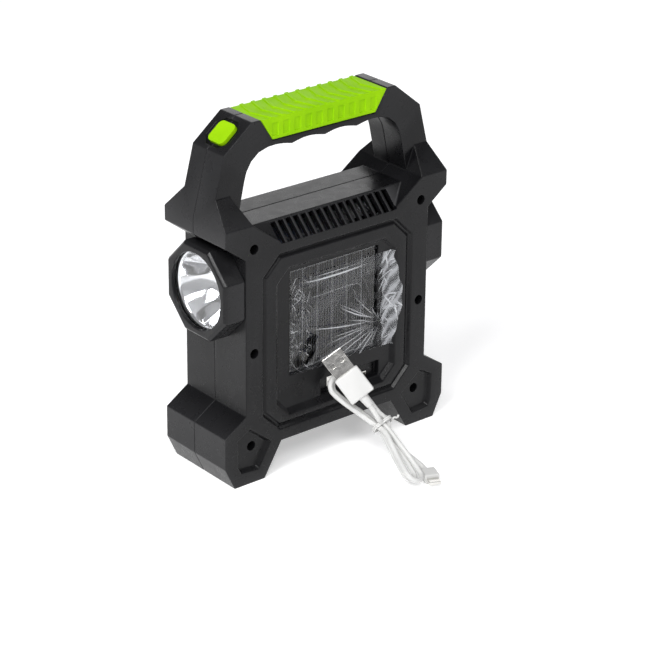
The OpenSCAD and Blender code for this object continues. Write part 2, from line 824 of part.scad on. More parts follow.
module charge_plug_body() {
    color(WHITE) charge_plug_frame() translate([-0.2, -4, -2.6]) cube([9, 8, 5.2]);
}

module charge_plug_tip() {
    color(SILVER) charge_plug_frame() translate([8.8, -3.3, -0.9]) cube([4.6, 6.6, 1.8]);
}

rear_housing();
front_housing();
handle_grip();
power_button();
switch_plunger();
switch_body();
switch_board();
solar_board();
solar_cells();
solar_cover();
protective_film();
torch_bezel();
torch_lens();
torch_seal();
torch_reflector();
torch_led_board();
torch_led();
side_lamp_bezel();
side_lamp_lens();
side_lamp_seal();
side_lamp_reflector();
side_lamp_led_board();
side_lamp_led();
flood_bezel();
flood_lens();
flood_gasket();
flood_reflector();
flood_led_board();
flood_leds();
heat_sink();
heat_sink_screws();
battery_holder();
battery_cell_upper();
battery_cell_lower();
battery_contacts();
control_board();
control_components();
port_board();
usb_output_socket();
charging_socket();
board_screws();
housing_screws();
panel_leads();
usb_plug_shell();
usb_plug_body();
cable_lead();
cable_hank();
cable_tie();
cable_tail();
charge_plug_body();
charge_plug_tip();
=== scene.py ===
"""Looks of a portable solar flood light: moulded shells, soft grip, solar panel under a loose
clear film, lamp heads, front flood lamp and a tied white charging cable."""

import json
import math
import random

import bmesh
import bpy
import numpy as np
from mathutils import Matrix, Vector


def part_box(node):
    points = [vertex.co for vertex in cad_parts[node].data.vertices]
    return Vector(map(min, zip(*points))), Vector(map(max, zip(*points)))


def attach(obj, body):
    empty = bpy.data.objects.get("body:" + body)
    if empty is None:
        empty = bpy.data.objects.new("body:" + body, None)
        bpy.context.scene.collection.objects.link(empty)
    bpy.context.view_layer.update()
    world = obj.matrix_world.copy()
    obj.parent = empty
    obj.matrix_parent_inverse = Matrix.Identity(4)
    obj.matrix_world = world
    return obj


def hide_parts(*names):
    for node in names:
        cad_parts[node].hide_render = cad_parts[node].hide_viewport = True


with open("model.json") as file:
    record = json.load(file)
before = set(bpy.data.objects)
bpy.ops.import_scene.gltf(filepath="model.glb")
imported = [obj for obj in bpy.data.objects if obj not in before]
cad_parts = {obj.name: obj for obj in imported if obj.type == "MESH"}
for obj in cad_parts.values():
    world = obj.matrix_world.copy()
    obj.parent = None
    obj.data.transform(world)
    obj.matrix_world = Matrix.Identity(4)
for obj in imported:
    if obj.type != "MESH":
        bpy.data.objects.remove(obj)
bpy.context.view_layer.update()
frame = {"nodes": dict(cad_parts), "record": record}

MM = 0.001
scene = bpy.context.scene
nodes = frame["nodes"]
slot_of = {part["node"]: part["material_slot"] for part in frame["record"]["subparts"]}

# Camera, in metres and degrees
CAMERA_AIM = Vector((0, 0, 0.110))
CAMERA_AZIMUTH = math.radians(140.83)
CAMERA_ELEVATION = math.radians(22.41)
CAMERA_ROLL = math.radians(0.40)
CAMERA_DISTANCE = 1.2442
CAMERA_LENS = 132.4
CAMERA_SHIFT = (0.0260, -0.1225)

# Moulded rounding, in metres and radians: meshes are welded and flattened first, and a corner
# is rounded by at most its share of the shortest edge beside it
WELD_DISTANCE = 2e-6
FLAT_ANGLE = math.radians(0.8)
CORNER_ANGLE = math.radians(3)
SHARP_ANGLE = math.radians(24)
ROOM_SHARE = 0.45
FINE_ROUNDING = 0.09 * MM
VENTS_BOX = ((-0.042, 0.010, 0.1275), (0.042, 0.0265, 0.1400))

# Tied cable, in millimetres but for its length in metres. The bundle is the CAD source's, and
# the lead and the tail follow the CAD's closely.
CABLE_D = 2.8
UPPER_LOOP_W = 15
LOWER_LOOP_W = 13
HANK_TOP = Vector((5, 26.3, 46.3))
HANK_NECK = Vector((-9.5, 50.5, 23))
HANK_FOOT = Vector((-5, 84.2, 3.3))
UPPER_ROLL, TIE_ROLL, LOWER_ROLL = 60, 30, 20
PLUG_END = Vector((0, 46, 40.2))
LEAD_ROUTE = [(-1.7, 49.6, 35.9), (-2.8, 51.5, 33), (-4.2, 52.5, 30), (-5.6, 52.5, 27.6)]
TAIL_ROUTE = [(-12.9, 60.4, 11.8), (-16.8, 65.4, 7.6), (-19.4, 70.6, 4), (-18.8, 76, 2.8),
              (-18.3, 77.4, 2.8)]

# Wire tie round the neck of the cable bundle, in millimetres
TIE_HALF_W = 5.6
TIE_HALF_T = 3.9
TIE_WIRE_R = 0.55
TIE_LEAN = 1.9
TIE_TURNS = 2
TIE_STEPS = 28

# Loose film, in metres: its grid, its way up the bevel, and the depth at which a fold gets its full
# painted highlight
FILM_SEED = 11
FILM_CELL = 0.36 * MM
FILM_LEDGE = 4.3 * MM
FILM_CLIMB = 2.4 * MM
FILM_HALF_T = 0.4 * MM
LIFT_LOW, LIFT_HIGH = -0.38 * MM, 0.6 * MM
FOLD_HIGHLIGHT_DEPTH = 0.28 * MM

# Folds of the film: a fan from the pinched spot, at angles in degrees, and level folds, each
# with its height, sharpness and depth in millimetres
PINCH = (-31 * MM, 66 * MM)
FAN_ANGLES = (-58, -47, -38, -24, -16, -5, 3, 9, 17, 26, 31, 42, 55, 70, 95, 128, 160, 205, 240)
LONG_FOLD_ANGLE = 50
LEVEL_FOLDS = ((101, 0.6, 0.45), (103.3, 0.3, 0.22), (92.5, 0.35, 0.18))

# Lamp bowls, in metres
THROAT_R = 4.2 * MM
THROAT_STEP = 1.3 * MM
RIM_W = 1.7 * MM
RIM_GAP = 0.1 * MM
BOWL_SKIN = 0.5 * MM
FLUTE_DEPTH = 0.35 * MM
FLUTES = 12
BOWL_SIDES = 96
BOWL_RINGS = 14

# Studio: area lights with place and size in metres and power in watts, and the sky's greys
LIGHTS = (("key_light", (1.3, 0.5, 1.5), 0.8, 28), ("top_light", (-0.6, 0.5, 1.8), 0.9, 6),
          ("back_light", (0.66, 1.0, 1.1), 0.45, 9), ("far_card", (-1.05, -1.3, 0.8), 1.1, 5))
SKY = [(0.0, (0.5, 0.5, 0.51)), (0.35, (0.26, 0.26, 0.27)), (1.0, (0.12, 0.12, 0.13))]
SKY_STRENGTH = 0.9
FLOOR_REACH = 4
FLOOR_GLOW = 0.4


# ---------- camera ----------

def make_camera():
    flat = math.cos(CAMERA_ELEVATION)
    away = Vector((math.sin(CAMERA_AZIMUTH) * flat, -math.cos(CAMERA_AZIMUTH) * flat,
                   math.sin(CAMERA_ELEVATION)))
    right = Vector((0, 0, 1)).cross(away).normalized()
    up = away.cross(right)
    turn, tip = math.cos(CAMERA_ROLL), math.sin(CAMERA_ROLL)
    axes = Matrix((turn * right + tip * up, turn * up - tip * right, away)).transposed()
    data = bpy.data.cameras.new("camera")
    data.sensor_width = 36
    data.lens = CAMERA_LENS
    data.shift_x, data.shift_y = CAMERA_SHIFT
    data.clip_end = 20
    camera = bpy.data.objects.new("camera", data)
    camera.matrix_world = Matrix.Translation(CAMERA_AIM + CAMERA_DISTANCE * away) @ axes.to_4x4()
    scene.collection.objects.link(camera)
    scene.camera = camera


# ---------- materials ----------

def new_material(name, colour, roughness, **sockets):
    """A principled material; sockets are further inputs by name, with _ for a space."""
    material = bpy.data.materials.new(name)
    material.use_nodes = True
    shader = material.node_tree.nodes["Principled BSDF"]
    shader.inputs["Base Color"].default_value = (*colour, 1)
    shader.inputs["Roughness"].default_value = roughness
    for socket, value in sockets.items():
        shader.inputs[socket.replace("_", " ")].default_value = value
    return material, material.node_tree, shader


def node(tree, kind, **inputs):
    """A new shader node with the named inputs set."""
    made = tree.nodes.new(kind)
    for name, value in inputs.items():
        made.inputs[name.replace("_", " ")].default_value = value
    return made


def noise_texture(tree, scale, detail=3.0, stretch=(1, 1, 1)):
    """Noise in the object's own metres; scale is per metre, stretch squeezes it along an axis."""
    place = node(tree, "ShaderNodeTexCoord")
    mapping = node(tree, "ShaderNodeMapping", Scale=stretch)
    texture = node(tree, "ShaderNodeTexNoise", Scale=scale, Detail=detail)
    tree.links.new(place.outputs["Object"], mapping.inputs["Vector"])
    tree.links.new(mapping.outputs["Vector"], texture.inputs["Vector"])
    return texture.outputs["Fac"]


def map_range(tree, value, low, high, start=0.3, end=0.7):
    """Value from start to end, mapped to low to high."""
    made = node(tree, "ShaderNodeMapRange", From_Min=start, From_Max=end, To_Min=low, To_Max=high)
    tree.links.new(value, made.inputs["Value"])
    return made.outputs["Result"]


def ramp(tree, value, stops):
    """Colour ramp through (position, colour) stops."""
    made = node(tree, "ShaderNodeValToRGB")
    elements = made.color_ramp.elements
    while len(elements) < len(stops):
        elements.new(0.5)
    for element, (position, colour) in zip(elements, stops):
        element.position = position
        element.color = (*colour, 1)
    tree.links.new(value, made.inputs["Fac"])
    return made.outputs["Color"]


def colour_over(tree, share, below, colour):
    """The colour below, covered with another one to the given share."""
    made = node(tree, "ShaderNodeMix")
    made.data_type = "RGBA"
    made.inputs[7].default_value = (*colour, 1)
    tree.links.new(share, made.inputs["Factor"])
    tree.links.new(below, made.inputs[6])
    return made.outputs[2]


def add_bump(tree, shader, height, strength, distance):
    made = node(tree, "ShaderNodeBump", Strength=strength, Distance=distance)
    tree.links.new(height, made.inputs["Height"])
    tree.links.new(made.outputs["Normal"], shader.inputs["Normal"])


def moulded_plastic(name, dark, light, rough=(0.36, 0.5), grain=0.12, painted_edge_highlight=None, **sockets):
    """Moulded plastic: slow colour drift, uneven gloss, fine grain and a painted edge highlight, a
    lighter colour on convex edges.
    """
    material, tree, shader = new_material(name, dark, rough[0], **sockets)
    colour = ramp(tree, noise_texture(tree, 55), [(0.35, dark), (0.65, light)])
    # Convex edges, found by pointiness, are painted a lighter colour as an edge highlight.
    if painted_edge_highlight:
        edges = node(tree, "ShaderNodeNewGeometry").outputs["Pointiness"]
        colour = colour_over(tree, map_range(tree, edges, 0, 0.55, 0.52, 0.6), colour, painted_edge_highlight)
    tree.links.new(colour, shader.inputs["Base Color"])
    tree.links.new(map_range(tree, noise_texture(tree, 160), *rough), shader.inputs["Roughness"])
    add_bump(tree, shader, noise_texture(tree, 2600, 2), grain, 0.0003)
    return material


def metal(name, colour, rough, stretch=(1, 1, 1), grain=0.05):
    """Bare metal with fine tool or brush marks along the unstretched axes."""
    material, tree, shader = new_material(name, colour, rough[0], Metallic=1)
    marks = noise_texture(tree, 900, 4, stretch)
    tree.links.new(map_range(tree, marks, *rough), shader.inputs["Roughness"])
    shade = tuple(0.86 * c for c in colour)
    tree.links.new(ramp(tree, noise_texture(tree, 120), [(0.3, shade), (0.7, colour)]),
                   shader.inputs["Base Color"])
    add_bump(tree, shader, marks, grain, 0.0001)
    return material


def clear_plastic(name, tint):
    """Clear moulded plastic with a trace of haze and surface waviness."""
    material, tree, shader = new_material(name, tint, 0.03, Transmission_Weight=1, IOR=1.49)
    tree.links.new(map_range(tree, noise_texture(tree, 90), 0.01, 0.07), shader.inputs["Roughness"])
    add_bump(tree, shader, noise_texture(tree, 60), 0.02, 0.0004)
    return material


def facets(tree, scale, stretch, turn):
    """A random value from 0 to 1 in each of many slanted flat patches."""
    place = node(tree, "ShaderNodeTexCoord")
    mapping = node(tree, "ShaderNodeMapping", Scale=stretch, Rotation=(0, turn, 0))
    mapping.vector_type = "TEXTURE"
    cells = node(tree, "ShaderNodeTexVoronoi", Scale=scale)
    split = node(tree, "ShaderNodeSeparateColor")
    tree.links.new(place.outputs["Object"], mapping.inputs["Vector"])
    tree.links.new(mapping.outputs["Vector"], cells.inputs["Vector"])
    tree.links.new(cells.outputs["Color"], split.inputs["Color"])
    return split.outputs["Red"]


def larger(tree, a, b):
    made = node(tree, "ShaderNodeMath")
    made.operation = "MAXIMUM"
    tree.links.new(a, made.inputs[0])
    tree.links.new(b, made.inputs[1])
    return made.outputs["Value"]


def film_material():
    """Thin crinkled film, clear between its creases; its whitish colour shows through alpha as a
    faint haze on facets, partly painted reflection, and as painted highlights along folds.
    """
    material, tree, shader = new_material("clear_film", (0.84, 0.86, 0.90), 0.15, IOR=1.6)
    crease = node(tree, "ShaderNodeAttribute")
    crease.attribute_name = "crease"
    # Facets get a faint whitish haze of random strength: partly real haze, partly painted
    # reflection of the crinkled facets.
    wide = map_range(tree, facets(tree, 130, (2.6, 100, 1), 0.35), 0, 0.05, 0.5, 1)
    narrow = map_range(tree, facets(tree, 290, (3, 100, 1), -0.4), 0, 0.03, 0.5, 1)
    # Folds, by the crease attribute, are painted whitish: painted highlights along the creases.
    lines = map_range(tree, crease.outputs["Fac"], 0, 0.8, 0.2, 1)
    tree.links.new(larger(tree, larger(tree, wide, narrow), lines), shader.inputs["Alpha"])
    tree.links.new(map_range(tree, noise_texture(tree, 300), 0.1, 0.25), shader.inputs["Roughness"])
    return material


def stripes(tree, period, axis="X"):
    """Bands across an axis of the object, one each period in metres, from 0 to 1."""
    place = node(tree, "ShaderNodeTexCoord")
    wave = node(tree, "ShaderNodeTexWave", Scale=math.pi / 10 / period)
    wave.bands_direction = axis
    tree.links.new(place.outputs["Object"], wave.inputs["Vector"])
    return wave.outputs["Fac"]


def solar_cell_material():
    """Blue-black silicon with a fine silver grid."""
    material, tree, shader = new_material("solar_cell", (0.004, 0.006, 0.02), 0.22, Coat_Weight=0.6)
    silicon = ramp(tree, noise_texture(tree, 220, 4),
                   [(0.35, (0.008, 0.008, 0.026)), (0.65, (0.016, 0.016, 0.050))])
    fingers = map_range(tree, stripes(tree, 1.6 * MM), 0, 0.8, 0.93, 0.99)
    tree.links.new(colour_over(tree, fingers, silicon, (0.16, 0.17, 0.20)),
                   shader.inputs["Base Color"])
    return material


def board_material(name, dark, light, sheen_low, sheen_high):
    """Printed board: solder mask with faint copper lines under it."""
    material, tree, shader = new_material(name, dark, sheen_low)
    tree.links.new(ramp(tree, noise_texture(tree, 400, 6), [(0.42, dark), (0.58, light)]),
                   shader.inputs["Base Color"])
    tree.links.new(map_range(tree, noise_texture(tree, 80), sheen_low, sheen_high),
                   shader.inputs["Roughness"])
    add_bump(tree, shader, stripes(tree, 1.3 * MM, "Z"), 0.1, 0.00005)
    return material


def led_material():
    """Phosphor-covered light chip."""
    material, tree, shader = new_material("led_chip", (0.9, 0.62, 0.08), 0.35,
                                          Subsurface_Weight=0.2)
    shader.inputs["Subsurface Radius"].default_value = (MM, 0.6 * MM, 0.2 * MM)
    tree.links.new(ramp(tree, noise_texture(tree, 900), [(0.3, (0.85, 0.55, 0.05)),
                                                       (0.7, (0.95, 0.74, 0.18))]),
                   shader.inputs["Base Color"])
    add_bump(tree, shader, noise_texture(tree, 3000), 0.1, 0.0001)
    return material


def make_materials():
    black_dark, black_light = (0.0042, 0.0042, 0.0048), (0.0062, 0.0062, 0.0070)
    return {
        # The housing's convex edges are painted (0.060, 0.060, 0.063) as an edge highlight.
        "housing_black": moulded_plastic("housing_black", black_dark, black_light,
                                         (0.24, 0.34), 0.10, (0.060, 0.060, 0.063),
                                         Specular_IOR_Level=0.2),
        "grip_green": moulded_plastic("grip_green", (0.23, 0.50, 0.001), (0.27, 0.55, 0.002),
                                      (0.45, 0.6), 0.2, Specular_IOR_Level=0.06),
        "button_green": moulded_plastic("button_green", (0.27, 0.55, 0.002), (0.31, 0.60, 0.003),
                                        (0.3, 0.4), 0.1, Specular_IOR_Level=0.12),
        "clear_lens": clear_plastic("clear_lens", (0.97, 0.98, 0.99)),
        "solar_resin": clear_plastic("solar_resin", (0.93, 0.95, 0.99)),
        "clear_film": film_material(),
        "chrome_reflector": metal("chrome_reflector", (0.93, 0.93, 0.94), (0.05, 0.12), grain=0.02),
        "solar_cell": solar_cell_material(),
        "circuit_board": board_material("circuit_board", (0.01, 0.09, 0.03), (0.02, 0.15, 0.05),
                                        0.3, 0.45),
        "white_board": board_material("white_board", (0.68, 0.69, 0.69), (0.78, 0.79, 0.79),
                                      0.35, 0.5),
        "led_chip": led_material(),
        "seal_rubber": moulded_plastic("seal_rubber", (0.012, 0.012, 0.012), (0.02, 0.02, 0.02),
                                       (0.6, 0.75), 0.25),
        "aluminium_sink": metal("aluminium_sink", (0.72, 0.73, 0.75), (0.28, 0.42), (1, 1, 0.05)),
        "steel_screw": metal("steel_screw", (0.32, 0.32, 0.34), (0.22, 0.36), (1, 0.2, 1)),
        "inner_plastic": moulded_plastic("inner_plastic", (0.015, 0.015, 0.015),
                                         (0.025, 0.025, 0.025), (0.45, 0.6)),
        "white_plastic": moulded_plastic("white_plastic", (0.7, 0.7, 0.69), (0.76, 0.76, 0.75)),
        "cell_wrap": moulded_plastic("cell_wrap", (0.02, 0.09, 0.33), (0.03, 0.12, 0.4),
                                     (0.2, 0.3), 0.03),
        "nickel_plate": metal("nickel_plate", (0.74, 0.73, 0.70), (0.14, 0.26), (0.1, 1, 1)),
        "cable_white": moulded_plastic("cable_white", (0.58, 0.58, 0.57), (0.66, 0.66, 0.65),
                                       (0.34, 0.46), 0.06),
        "wire_red": moulded_plastic("wire_red", (0.35, 0.01, 0.01), (0.45, 0.015, 0.015)),
    }


# ---------- making pieces ----------

def add_piece(name, mesh, slot, replaced=(), body="root"):
    """A shown piece with the record slot's material, in place of the named CAD nodes."""
    piece = bpy.data.objects.new(name, mesh)
    scene.collection.objects.link(piece)
    piece.data.materials.clear()
    piece.data.materials.append(materials[slot])
    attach(piece, body)
    if replaced:
        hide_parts(*replaced)
    return piece


def mesh_from(name, bm, smooth=True):
    mesh = bpy.data.meshes.new(name)
    bm.to_mesh(mesh)
    bm.free()
    mesh.polygons.foreach_set("use_smooth", [smooth] * len(mesh.polygons))
    return mesh


def clean_mesh(name):
    """A CAD node's mesh, welded, with its flat areas joined and its large faces cut up."""
    bm = bmesh.new()
    bm.from_mesh(nodes[name].data)
    bmesh.ops.remove_doubles(bm, verts=bm.verts, dist=WELD_DISTANCE)
    bmesh.ops.dissolve_limit(bm, angle_limit=FLAT_ANGLE, verts=bm.verts, edges=bm.edges)
    bmesh.ops.triangulate(bm, faces=[face for face in bm.faces if len(face.verts) > 4])
    return bm


def weigh_edges(bm, width, fine):
    """Give each sharp edge the share of width that its neighbours leave room for."""
    weight = bm.edges.layers.float.new("bevel_weight_edge")
    corners = {edge for edge in bm.edges if len(edge.link_faces) == 2
               and edge.calc_face_angle() > CORNER_ANGLE}
    for edge in corners:
        if edge.calc_face_angle() > SHARP_ANGLE:
            room = min(e.calc_length() for v in edge.verts for e in v.link_edges if e in corners)
            edge[weight] = min(1, ROOM_SHARE * room / width)
            middle = (edge.verts[0].co + edge.verts[1].co) / 2
            if fine and all(a < m < b for a, m, b in zip(fine[0], middle, fine[1])):
                edge[weight] = min(edge[weight], FINE_ROUNDING / width)


def rounded_copy(name, width, body="root", segments=2, fine=None):
    """A CAD node's shape with its corners rounded as a mould leaves them, shown in its place.
    Each edge is rounded by width, or by less where its neighbours leave no room. Inside the
    box fine, given by its lowest and highest corner, every edge has only FINE_ROUNDING."""
    bm = clean_mesh(name)
    weigh_edges(bm, width, fine)
    piece = add_piece(name + "_moulded", mesh_from(name, bm), slot_of[name], [name], body)
    rounding = piece.modifiers.new("rounding", "BEVEL")
    rounding.width = width
    rounding.segments = segments
    rounding.limit_method = "WEIGHT"
    rounding.use_clamp_overlap = False
    rounding.loop_slide = False
    shading = piece.modifiers.new("shading", "WEIGHTED_NORMAL")
    shading.weight = 50
    return piece


def smooth_route(points, step=0.6):
    """A Catmull-Rom curve through points, resampled about every step."""
    route = [Vector(p) for p in points]
    route = [2 * route[0] - route[1], *route, 2 * route[-1] - route[-2]]
    curve = []
    for a, b, c, d in zip(route, route[1:], route[2:], route[3:]):
        count = max(2, round((c - b).length / step))
        for i in range(count):
            t = i / count
            curve.append(0.5 * (2 * b + (c - a) * t + (2 * a - 5 * b + 4 * c - d) * t ** 2
                                + (3 * b - a - 3 * c + d) * t ** 3))
    curve.append(route[-2])
    return curve


# ---------- charging cable ----------

def plate_axes(start, end, roll):
    """Along, across and out of a flat bundle end that runs from start to end, as in the CAD."""
    along = (end - start).normalized()
    across = Vector((-along.y, along.x, 0)).normalized()
    out = along.cross(across)
    turn, tip = math.cos(math.radians(roll)), math.sin(math.radians(roll))
    return along, turn * across + tip * out, turn * out - tip * across


def on_plate(axes, along, across, out):
    return HANK_NECK + along * axes[0] + across * axes[1] + out * axes[2]


def strand(axes, straight, layer, near, far):
    """Three points of a strand that eases from near at the tie to far at the loop's side."""
    points = []
    for share in (0.2, 0.45, 0.75):
        ease = share * share * (3 - 2 * share)
        points.append(on_plate(axes, share * straight, near + (far - near) * ease, layer))
    return points


def cable_loop(axes, length, half_width, layer, start, finish):
    """One loop: out from the tie on the side of start, round the end and back to finish."""
    straight = length - half_width
    out_side = math.copysign(1, start)
    points = strand(axes, straight, layer, start, out_side * half_width)
    for angle in range(0, 181, 30):
        across = out_side * half_width * math.cos(math.radians(angle))
        reach = straight + half_width * math.sin(math.radians(angle))
        points.append(on_plate(axes, reach, across, layer))
    return points + strand(axes, straight, layer, finish, -out_side * half_width)[::-1]


def cable_route():
    """The whole cable in millimetres: from the plug through the tie, down, up, down and up
    again, and out to the small plug. The strands lie side by side in the tie, in two layers."""
    along, across, out = plate_axes(HANK_TOP, HANK_NECK, UPPER_ROLL)
    upper = (-along, across, out)
    along, across, out = plate_axes(HANK_FOOT, HANK_NECK, LOWER_ROLL)
    lower = (-along, -across, out)
    tie = plate_axes(HANK_NECK, HANK_NECK + HANK_FOOT - HANK_TOP, TIE_ROLL)
    upper_length = (HANK_TOP - HANK_NECK).length - CABLE_D / 2
    lower_length = (HANK_FOOT - HANK_NECK).length - CABLE_D / 2
    upper_half = (UPPER_LOOP_W - CABLE_D) / 2
    lower_half = (LOWER_LOOP_W - CABLE_D) / 2
    layer = CABLE_D / 2
    return [
        PLUG_END, *[Vector(p) for p in LEAD_ROUTE],
        on_plate(tie, 0, 0.2, layer + 0.3),
        *cable_loop(lower, lower_length, lower_half, layer, 0.8, -2.6),
        on_plate(tie, 0, -2.9, layer),
        *cable_loop(upper, upper_length, upper_half, layer, -2.9, 2.9),
        on_plate(tie, 0, 3.1, 0.8),
        *cable_loop(lower, lower_length - 3, lower_half - 1.3, -layer, 3, -1.5),
        on_plate(tie, 0, -1.6, -layer),
        *cable_loop(upper, upper_length - 1.2, upper_half - 1, -layer, -1.7, 1.5),
        on_plate(tie, 0, 1.4, -layer),
        on_plate(lower, 5, 2.6, -2.9),
        *[Vector(p) for p in TAIL_ROUTE]]


def make_cable():
    points = smooth_route(cable_route())
    curve = bpy.data.curves.new("charging_cable", "CURVE")
    curve.dimensions = "3D"
    curve.bevel_depth = CABLE_D / 2 * MM
    curve.bevel_resolution = 4
    curve.use_fill_caps = True
    spline = curve.splines.new("POLY")
    spline.points.add(len(points) - 1)
    for target, point in zip(spline.points, points):
        target.co = (*(point * MM), 1)
    spline.use_smooth = True
    cable = add_piece("charging_cable", curve, "cable_white",
                      ["cable_lead", "cable_hank", "cable_tail"])
    pieces = [rounded_copy("usb_plug_body", 0.9 * MM, segments=3),
              rounded_copy("usb_plug_shell", 0.25 * MM),
              rounded_copy("charge_plug_body", 0.9 * MM, segments=3),
              rounded_copy("charge_plug_tip", 0.3 * MM)]


def make_tie():
    """Thin plastic-covered wire wound twice round the cable, its two ends twisted up."""
    along, across, out = plate_axes(HANK_NECK, HANK_NECK + HANK_FOOT - HANK_TOP, TIE_ROLL)
    points = []
    for i in range(TIE_TURNS * TIE_STEPS + 1):
        angle = 2 * math.pi * i / TIE_STEPS
        c, s = math.cos(angle), math.sin(angle)
        squarer = (abs(c) ** 3 + abs(s) ** 3) ** (-1 / 3)
        drift = TIE_LEAN * i / (TIE_TURNS * TIE_STEPS) - TIE_LEAN / 2
        points.append(HANK_NECK + drift * along + TIE_HALF_W * squarer * c * across
                      + TIE_HALF_T * squarer * s * out)
    knot = points[-1]
    ends = [knot + 1.4 * across + 1.2 * out, knot + 3.0 * across + 1.0 * out + 0.9 * along,
            knot + 4.0 * across + 1.8 * out + 0.2 * along]
    bm = bmesh.new()
    sweep_tube(bm, smooth_route([*points, *ends], 0.5), TIE_WIRE_R)
    add_piece("cable_tie_wire", mesh_from("cable_tie_wire", bm), "cable_white", ["cable_tie"])


def sweep_tube(bm, route, radius, sides=8):
    """A round tube along a route in millimetres, closed at both ends."""
    rings = []
    side = Vector((0.31, 0.17, 0.94))
    for i, point in enumerate(route):
        forward = (route[min(i + 1, len(route) - 1)] - route[max(i - 1, 0)]).normalized()
        side = (side - side.dot(forward) * forward).normalized()
        other = forward.cross(side)
        ring = []
        for a in np.linspace(0, 2 * math.pi, sides, endpoint=False):
            offset = radius * (math.cos(a) * side + math.sin(a) * other)
            ring.append(bm.verts.new((point + offset) * MM))
        rings.append(ring)
    for low, high in zip(rings, rings[1:]):
        for k in range(sides):
            bm.faces.new((low[k], low[(k + 1) % sides], high[(k + 1) % sides], high[k]))
    bm.faces.new(rings[0][::-1])
    bm.faces.new(rings[-1])


# ---------- housing, grip and button ----------

def make_housing():
    rounded_copy("rear_housing", 0.5 * MM, fine=VENTS_BOX)
    rounded_copy("front_housing", 0.5 * MM)
    rounded_copy("handle_grip", 0.45 * MM)
    rounded_copy("power_button", 1.1 * MM, "button", 3)
    for name in ("torch_bezel", "side_lamp_bezel"):
        rounded_copy(name, 0.5 * MM)
    rounded_copy("flood_bezel", 0.6 * MM)


# ---------- solar panel ----------

def add_crease(field, grid, start, heading, reach, sharpness, depth, bow=0.0):
    """Press one straight or bowed fold into the film; field is [lift, crease], and crease is the
    mask that the film material paints as fold highlight.
    """
    x, z = grid
    along = (x - start[0]) * math.cos(heading) + (z - start[1]) * math.sin(heading)
    across = (z - start[1]) * math.cos(heading) - (x - start[0]) * math.sin(heading)
    across = across + bow * along ** 2
    ridge = np.clip(1 - (along / reach) ** 2, 0, 1) ** 1.2 * np.exp(-np.abs(across) / sharpness)
    field[0] += depth * ridge
    # The crease mask, strongest for deep folds, is painted by the film material as highlight.
    field[1] = np.maximum(field[1], ridge * min(1, abs(depth) / FOLD_HIGHLIGHT_DEPTH))


def crumple(chance, field, grid, low, high, count, reach, sharpness, depth):
    """Many short folds, thrown over the stretch of film from low to high."""
    for _ in range(count):
        start = (chance.uniform(low[0], high[0]), chance.uniform(low[1], high[1]))
        heading = math.radians(chance.choice((40, 62, 118, 150)) + chance.gauss(0, 14))
        fold = chance.choice((-1, 1)) * chance.uniform(0.3, 1) * depth
        add_crease(field, grid, start, heading, chance.uniform(0.3, 1) * reach,
                   chance.uniform(0.6, 1.3) * sharpness, fold, chance.uniform(-12, 12))


def film_profile(low, high, x):
    """Height of the flat film over x: on the panel, then up the bevel onto the ledge."""
    share = np.clip((low[0] + FILM_LEDGE + FILM_CLIMB - x) / FILM_CLIMB, 0, 1)
    return low[1] + FILM_HALF_T + (high[1] - low[1] - 2 * FILM_HALF_T) * share


def film_grid(low, high):
    """Places x and z of the film's points, in rows, and how far in its ragged side starts."""
    width, height = high[0] - low[0], high[2] - low[2]
    columns, rows = round(width / FILM_CELL), round(height / FILM_CELL)
    across, up = np.meshgrid(np.linspace(0, 1, columns + 1), np.linspace(0, 1, rows + 1))
    ragged = 2.6 * MM + 2.6 * MM * np.cos(up * 2 * math.pi) + 0.5 * MM * np.sin(up * 29)
    x = low[0] + ragged + (width - ragged) * across
    z = low[2] + height * up - 0.9 * MM * (1 - across) * np.sin(up * math.pi) * np.cos(up * 17)
    return x, z, ragged


def press_fan(chance, field, grid):
    """Folds that fan out from the pinched spot, long ones near level and short ones elsewhere."""
    for angle in FAN_ANGLES:
        heading = math.radians(angle + chance.gauss(0, 2))
        span = (12, 29) if abs(angle) < LONG_FOLD_ANGLE else (4, 8)
        reach = chance.uniform(*span) * MM
        start = (PINCH[0] + reach * math.cos(heading), PINCH[1] + reach * math.sin(heading))
        fold = chance.choice((-1, 1)) * chance.uniform(0.12, 0.34) * MM
        add_crease(field, grid, start, heading, reach, 0.34 * MM, fold, chance.uniform(-7, 7))


def film_folds(low, high, x, z):
    """The film's lift and crease: fan, level folds, then crumpled sides and small folds."""
    chance = random.Random(FILM_SEED)
    field = [np.zeros_like(x), np.zeros_like(x)]
    grid = (x, z)
    press_fan(chance, field, grid)
    for rise, sharpness, depth in LEVEL_FOLDS:
        add_crease(field, grid, (0, rise * MM), math.radians(chance.gauss(0, 2)), 29 * MM,
                   sharpness * MM, depth * MM, chance.uniform(-3, 3))
    first, last = (low[0], low[2]), (high[0], high[2])
    crumple(chance, field, grid, (16 * MM, low[2]), last, 120, 5 * MM, 0.2 * MM, 0.26 * MM)
    crumple(chance, field, grid, first, (-30 * MM, high[2]), 48, 10 * MM, 0.5 * MM, 0.4 * MM)
    crumple(chance, field, grid, first, last, 120, 12 * MM, 0.25 * MM, 0.15 * MM)
    # The loose film past the pinch gets a steady crease mask, which the film material shows as a
    # painted whitish sheen.
    loose = np.clip((PINCH[0] - x) / (1.5 * MM), 0, 1)
    field[1] = np.maximum(field[1], loose * (0.42 + 0.14 * np.sin(x / MM + 0.7 * z / MM)))
    return field


